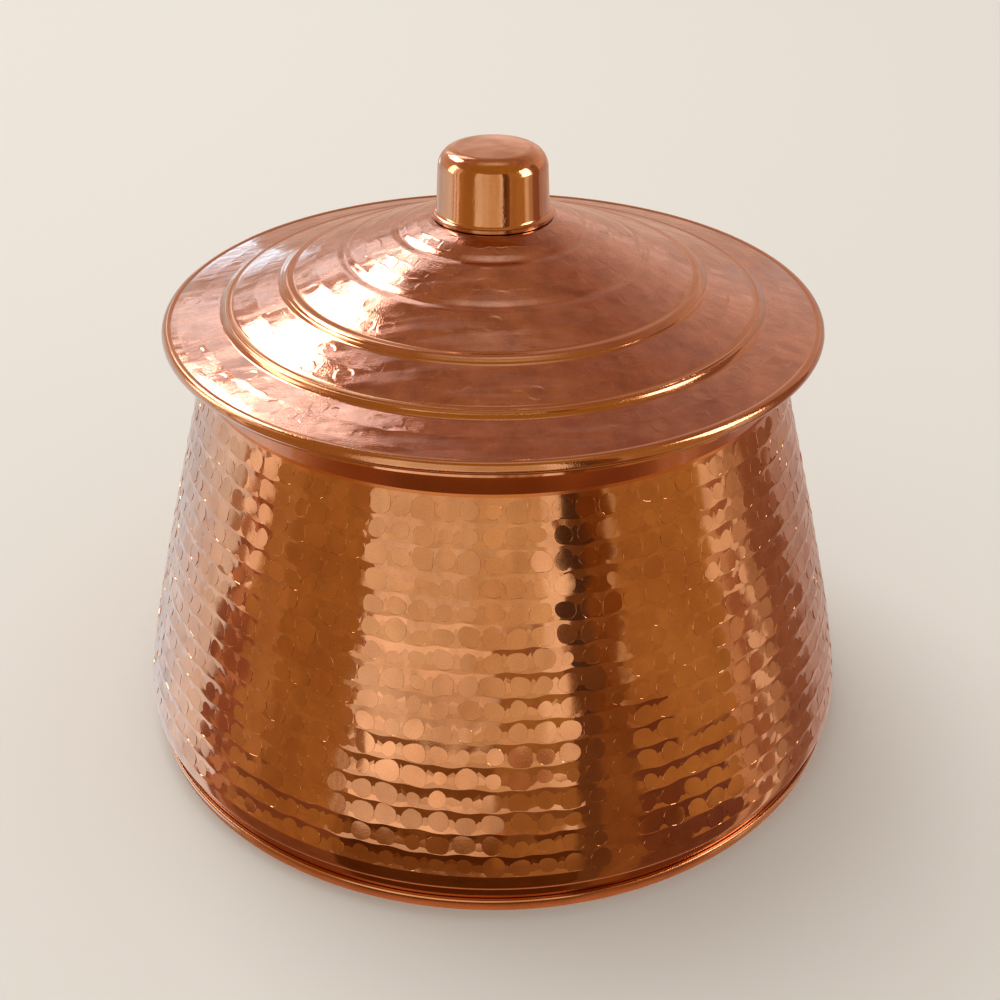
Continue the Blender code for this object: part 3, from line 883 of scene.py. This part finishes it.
# The small CAD pieces keep their shapes. Drawn copper wire is dull and even, turned brass is
# yellow and bright, and zinc plating leaves the steel washer and screw pale and a little cloudy.
# Each has two tones and its least and greatest roughness
SMALL_METALS = (
    ("lid_rim_wire", "drawn_copper_wire", "#B8714A", "#9E5C38", 0.24, 0.36),
    ("knob_boss", "turned_brass", "#CDB06A", "#B8985A", 0.16, 0.28),
    ("knob_washer", "zinc_plated_steel_washer", "#C4C6C8", "#ABAEB2", 0.22, 0.38),
    ("knob_screw", "zinc_plated_steel_screw", "#C8CACC", "#B0B3B6", 0.18, 0.32),
)
for node, name, light, dark, low_roughness, high_roughness in SMALL_METALS:
    metal = clouded_metal(name, light, dark, low_roughness, high_roughness, METAL_CELLS, detail=3.0)
    for slot in bpy.data.objects[node].material_slots:
        slot.material = metal


# Floor, light and camera

FLOOR_SIZE = 30.0
FLOOR_COLOUR = "#D8D2CA"
FLOOR_ROUGHNESS = 0.9
ROOM_COLOUR = "#E4E2DE"
# What metal sees of the room, by the sine of the elevation
ROOM_SHADES = (
    (-1.00, "#DCA07A"),
    (-0.80, "#B88058"),
    (-0.60, "#9A6440"),
    (-0.45, "#8C5636"),
    (-0.05, "#D8B090"),
    (0.15, "#F0CAB6"),
    (0.45, "#E0BEAA"),
    (0.64, "#C6A696"),
    (0.76, "#BC9078"),
    (0.83, "#AC8268"),
    (0.88, "#C49A7A"),
    (0.93, "#B88C5E"),
    (1.00, "#AE8444"),
)
# High up on the camera's side the room turns amber, between these sines of the elevation and
# these shares of the way round to the front
AMBER_SHADE = "#BC944C"
AMBER_SINES = {"From Min": 0.30, "From Max": 0.55}
AMBER_SIDES = {"From Min": 0.10, "From Max": -0.15}
# Soft patches of more and less light over the room, one in about 2 degrees
ROOM_CELLS = 26.0
ROOM_STRETCH = {"From Min": 0.36, "From Max": 0.64}
ROOM_UNEVENNESS = {"To Min": 0.70, "To Max": 1.36}
# Cards stood round the pot for its reflections, with their light in soft patches of 18 mm. Each
# gives the polished wall one of its upright bands of light and dark
CARD_RADIUS = 0.30
CARD_CELLS = 55.0
CARD_STRETCH = {"From Min": 0.30, "From Max": 0.70}
CARD_UNEVENNESS = 0.16
# Most cards start at the low edge, and reach the top or the high edge
LOW = -0.25
TOP = 0.20
HIGH = 0.38
# Each card: name, azimuth from and to (0 is the camera's side), height from and to, its colour
# and strength
CARDS = (
    ("behind", 148, 207, LOW, TOP, "#FFCCB0", 0.68),
    ("behind_left_low", -153, -144, LOW, 0.142, "#FFF4EC", 0.72),
    ("behind_left_bright", -153, -144, 0.142, 0.178, "#DEF0FF", 2.10),
    ("behind_left_high", -153, -144, 0.178, TOP, "#FFCCB0", 0.68),
    ("far_left", -144, -126, LOW, TOP, "#FFF4EC", 0.72),
    ("left_1", -126, -117, LOW, TOP, "#F8FBFF", 0.86),
    ("left_2", -117, -108, LOW, TOP, "#F4FAFF", 0.98),
    ("left_3", -108, -99, LOW, TOP, "#F0F8FF", 1.12),
    ("left_4", -99, -86, 0.05, TOP, "#ECF6FF", 1.24),
    ("left_4_low", -99, -83, LOW, 0.05, "#F0F8FF", 1.26),
    ("window_1", -86, -83.5, 0.05, HIGH, "#FFD2B0", 0.62),
    ("window_2", -83.5, -79, 0.05, HIGH, "#FFFCFA", 1.50),
    ("window_3", -79, -76, 0.05, HIGH, "#FFC69C", 0.58),
    ("window_4", -76, -71.5, 0.05, HIGH, "#FFF8F0", 1.45),
    ("window_2_low", -83, -79.5, LOW, 0.05, "#EEA688", 0.44),
    ("window_3_low", -79.5, -76.5, LOW, 0.05, "#FFC8A0", 0.74),
    ("window_4_low", -76.5, -71.5, LOW, 0.05, "#F4AC88", 0.48),
    ("warm_left_1", -71.5, -60, -0.09, HIGH, "#FFCE8C", 0.62),
    ("warm_left_2", -60, -36, -0.09, HIGH, "#FFC87A", 0.52),
    ("warm_left_low", -71.5, -39, LOW, -0.09, "#E8A47A", 0.38),
    ("front_edge", -36, -22, 0.07, HIGH, "#FFFFF4", 1.20),
    ("front_left", -22, -6, 0.07, HIGH, "#FFF8E4", 1.06),
    ("front_right", -6, 14, 0.07, HIGH, "#FFEFCC", 0.94),
    ("front_edge_mid", -35, -22, 0.025, 0.07, "#FFFFFF", 1.26),
    ("front_left_mid", -22, -6, 0.025, 0.07, "#FFFDF4", 1.12),
    ("front_right_mid", -6, 14, 0.020, 0.07, "#FFF4DA", 0.98),
    ("front_bright", 14, 19.6, 0.010, HIGH, "#FFFCF4", 1.34),
    ("front_lip_left", -34, -22, 0.0, 0.025, "#FFFFFF", 1.60),
    ("front_lip_right", -22, 1, 0.0, 0.025, "#FFFCF6", 1.40),
    ("front_lip_low_left", -39, -22, -0.032, 0.0, "#FFFEFA", 1.12),
    ("front_lip_low_right", -22, 1, -0.032, 0.0, "#FFFAF0", 1.00),
    ("front_low_left", -39, 1, -0.09, -0.032, "#FFC078", 0.31),
    ("front_low_right", 1, 20.3, -0.055, 0.010, "#FFD088", 0.52),
    ("front_under_right", 1, 20.3, -0.09, -0.055, "#FFC888", 0.34),
    ("front_lowest", -39, 20.3, LOW, -0.09, "#E09450", 0.18),
    ("dark", 19.6, 26.4, 0.075, HIGH, "#FFC4A0", 0.10),
    ("dark_low", 20.0, 26.0, LOW, 0.075, "#FFC088", 0.21),
    ("amber", 26.4, 33.5, 0.075, HIGH, "#FFAC5A", 0.27),
    ("amber_low", 26.0, 36, LOW, 0.05, "#FFBE78", 0.34),
    ("amber_mid", 26.0, 33.5, 0.05, 0.075, "#FFB468", 0.30),
    ("line", 33.5, 35.0, 0.05, HIGH, "#FFEAC8", 0.80),
    ("warm_right_1", 35.0, 48, -0.02, HIGH, "#FFCE84", 0.58),
    ("warm_right_1_low", 36, 48, LOW, -0.02, "#F0A880", 0.27),
    ("warm_right_2", 48, 66, -0.06, TOP, "#FFD085", 0.62),
    ("warm_right_high", 48, 60, TOP, HIGH, "#FFD085", 0.62),
    ("warm_right_2_low", 48, 66, LOW, -0.06, "#F0A890", 0.28),
    ("right_window_1", 66, 75, 0.06, TOP, "#FFF4E0", 1.15),
    ("right_window_2", 75, 85, 0.06, TOP, "#FFE0C0", 0.70),
    ("right_window_1_low", 66, 71, LOW, 0.06, "#FFDCB4", 0.80),
    ("right_window_2_low", 71, 77, LOW, 0.06, "#FFC49C", 0.50),
    ("right_window_3_low", 77, 80, LOW, 0.06, "#FFF0DC", 1.15),
    ("right_window_4_low", 80, 85, LOW, 0.06, "#FFD8B0", 0.60),
    ("mauve", 85, 106, 0.06, HIGH, "#FFBC97", 0.36),
    ("mauve_low", 85, 101, LOW, 0.06, "#FFBC97", 0.38),
    ("far_right", 106, 148, 0.06, TOP, "#FFDCCC", 0.62),
    ("far_right_low", 101, 148, LOW, 0.06, "#FFDCCC", 0.58),
    ("high_left", -102, -86, TOP, HIGH, "#FFFFFF", 5.00),
    ("high_right", 61, 82, TOP, HIGH, "#FFFFFF", 8.00),
)
# Soft lights: azimuth and elevation in degrees, distance, width and height in metres, turn in
# degrees, colour, strength, and whether it shows in reflections alone or lights the floor alone
SOFTBOXES = (
    ("key_softbox", -134.0, 43.5, 1.3, 0.50, 0.29, 40.0, "#FFFFFF", 14.0, True),
    ("key_side", -145.2, 35.5, 1.3, 0.064, 0.36, 0.0, "#FFFFFF", 9.0, True),
    ("key_glow", -154.3, 33.5, 1.4, 0.16, 0.83, 0.0, "#D0EEFF", 1.1, True),
    ("key_cloud", -158.0, 46.5, 1.4, 0.30, 0.27, 0.0, "#D8EEFF", 1.8, True),
    ("floor_light", -140.0, 60.0, 4.0, 2.5, 2.5, 0.0, "#FFFFFF", 4.0, False),
)
AIM_HEIGHT = 0.10
# The photograph's view, fitted to the pot's outline: sensor width and lens in millimetres, the
# picture's shift in shares of its width, and the camera's place and its tilt down in degrees
SENSOR_WIDTH = 36.0
LENS = 50.625
PICTURE_SHIFT = (0.00694, 0.02468)
CAMERA_PLACE = (0.0, -0.406621, 0.318235)
CAMERA_TILT = 32.4871
NEAREST_SEEN = 0.01


def floor():
    """A plain pale floor, large in every direction."""
    half = 0.5 * FLOOR_SIZE
    corners = [(-half, -half, 0.0), (half, -half, 0.0), (half, half, 0.0), (-half, half, 0.0)]
    mesh = bpy.data.meshes.new("floor")
    mesh.from_pydata(corners, [], [(0, 1, 2, 3)])
    material, tree, shader = new_material("pale_floor")
    shader.inputs["Base Color"].default_value = linear(FLOOR_COLOUR)
    shader.inputs["Roughness"].default_value = FLOOR_ROUGHNESS
    mesh.materials.append(material)
    obj = added("floor", mesh)
    obj.visible_glossy = False


def card(name, start, end, low_edge, high_edge, colour, strength):
    """A curved upright card that only shows in reflections: points (R sin a, -R cos a) a degree
    or less apart, carried up from the low edge to the high edge."""
    angle = np.radians(np.linspace(start, end, 2 + int(end - start)))
    across, away = CARD_RADIUS * np.sin(angle), -CARD_RADIUS * np.cos(angle)
    low = np.column_stack([across, away, low_edge + 0.0 * angle])
    high = low + np.array([0.0, 0.0, high_edge - low_edge])
    count = len(angle)
    here = np.arange(count - 1)
    faces = np.column_stack([here, here + 1, here + 1 + count, here + count])
    mesh = bpy.data.meshes.new("card_" + name)
    mesh.from_pydata(np.vstack([low, high]).tolist(), [], faces.tolist())
    material = bpy.data.materials.new("card_" + name)
    material.use_nodes = True
    tree = material.node_tree
    tree.nodes.remove(tree.nodes["Principled BSDF"])
    place = add_node(tree, "ShaderNodeTexCoord").outputs["Object"]
    cloud = add_node(tree, "ShaderNodeTexNoise", {"Vector": place, "Scale": CARD_CELLS, "Detail": 2.0})
    uneven = add_node(
        tree,
        "ShaderNodeMapRange",
        {
            "Value": cloud.outputs["Fac"],
            **CARD_STRETCH,
            "To Min": strength * (1.0 - CARD_UNEVENNESS),
            "To Max": strength * (1.0 + CARD_UNEVENNESS),
        },
    )
    glow = add_node(
        tree, "ShaderNodeEmission", {"Color": linear(colour), "Strength": uneven.outputs["Result"]}
    )
    tree.links.new(glow.outputs[0], tree.nodes["Material Output"].inputs["Surface"])
    mesh.materials.append(material)
    obj = added("card_" + name, mesh)
    obj.visible_camera = False
    obj.visible_diffuse = False
    obj.visible_shadow = False
    obj.visible_transmission = False


def softbox(name, azimuth, elevation, distance, width, height, turn, colour, strength, in_reflections):
    """A rectangular soft light that looks at the pot from a direction, turned about its own axis.
    Its power is its strength times its area times pi."""
    data = bpy.data.lights.new(name, "AREA")
    data.shape = "RECTANGLE"
    data.size = width
    data.size_y = height
    data.color = linear(colour)[:3]
    data.energy = strength * width * height * math.pi
    obj = added(name, data)
    a, e = math.radians(azimuth), math.radians(elevation)
    direction = Vector((math.cos(e) * math.sin(a), -math.cos(e) * math.cos(a), math.sin(e)))
    obj.location = Vector((0.0, 0.0, AIM_HEIGHT)) + distance * direction
    turned = Quaternion((0.0, 0.0, 1.0), math.radians(turn))
    obj.rotation_euler = (direction.to_track_quat("Z", "Y") @ turned).to_euler()
    obj.visible_camera = False
    obj.visible_glossy = in_reflections
    obj.visible_diffuse = not in_reflections


def world():
    """A pale room. Metal sees it as walls that darken and warm towards the ceiling."""
    room = bpy.data.worlds.new("studio_room")
    bpy.context.scene.world = room
    room.use_nodes = True
    tree = room.node_tree
    background = tree.nodes["Background"]
    place = add_node(tree, "ShaderNodeTexCoord").outputs["Generated"]
    parts = add_node(tree, "ShaderNodeSeparateXYZ", {"Vector": place})
    up, back = parts.outputs["Z"], parts.outputs["Y"]
    share = add_node(tree, "ShaderNodeMapRange", {"Value": up, "From Min": -1.0})
    ramp = add_node(tree, "ShaderNodeValToRGB", {"Fac": share.outputs["Result"]})
    stops = ramp.color_ramp.elements
    for sine, colour in ROOM_SHADES:
        stop = stops.new(0.5 + 0.5 * sine)
        stop.color = linear(colour)
    stops.remove(stops[0])
    stops.remove(stops[-1])
    high = add_node(tree, "ShaderNodeMapRange", {"Value": up, **AMBER_SINES})
    front = add_node(tree, "ShaderNodeMapRange", {"Value": back, **AMBER_SIDES})
    both = add_node(
        tree,
        "ShaderNodeMath",
        {0: high.outputs["Result"], 1: front.outputs["Result"]},
        operation="MULTIPLY",
    )
    warmed = add_node(
        tree,
        "ShaderNodeMix",
        {"Factor": both.outputs[0], FIRST: ramp.outputs["Color"], SECOND: linear(AMBER_SHADE)},
        data_type="RGBA",
    )
    patches = add_node(tree, "ShaderNodeTexNoise", {"Vector": place, "Scale": ROOM_CELLS, "Detail": 2.0})
    uneven = add_node(
        tree,
        "ShaderNodeMapRange",
        {"Value": patches.outputs["Fac"], **ROOM_STRETCH, **ROOM_UNEVENNESS},
    )
    mottled = add_node(
        tree,
        "ShaderNodeVectorMath",
        {0: warmed.outputs[MIXED], "Scale": uneven.outputs["Result"]},
        operation="SCALE",
    )
    path = add_node(tree, "ShaderNodeLightPath")
    glossy, mottled = path.outputs["Is Glossy Ray"], mottled.outputs["Vector"]
    seen = add_node(
        tree,
        "ShaderNodeMix",
        {"Factor": glossy, FIRST: linear(ROOM_COLOUR), SECOND: mottled},
        data_type="RGBA",
    )
    tree.links.new(seen.outputs[MIXED], background.inputs["Color"])
    background.inputs["Strength"].default_value = 1.0


def camera():
    """The photograph's view: 407 mm in front of the pot's axis and 318 mm up, looking down at it."""
    data = bpy.data.cameras.new("camera")
    data.sensor_width = SENSOR_WIDTH
    data.lens = LENS
    data.shift_x, data.shift_y = PICTURE_SHIFT
    data.clip_start = NEAREST_SEEN
    obj = added("camera", data)
    obj.location = CAMERA_PLACE
    obj.rotation_euler = (math.radians(90.0 - CAMERA_TILT), 0.0, 0.0)
    bpy.context.scene.camera = obj


floor()
for settings in CARDS:
    card(*settings)
for settings in SOFTBOXES:
    softbox(*settings)
world()
camera()
bpy.context.scene.view_settings.view_transform = "Standard"
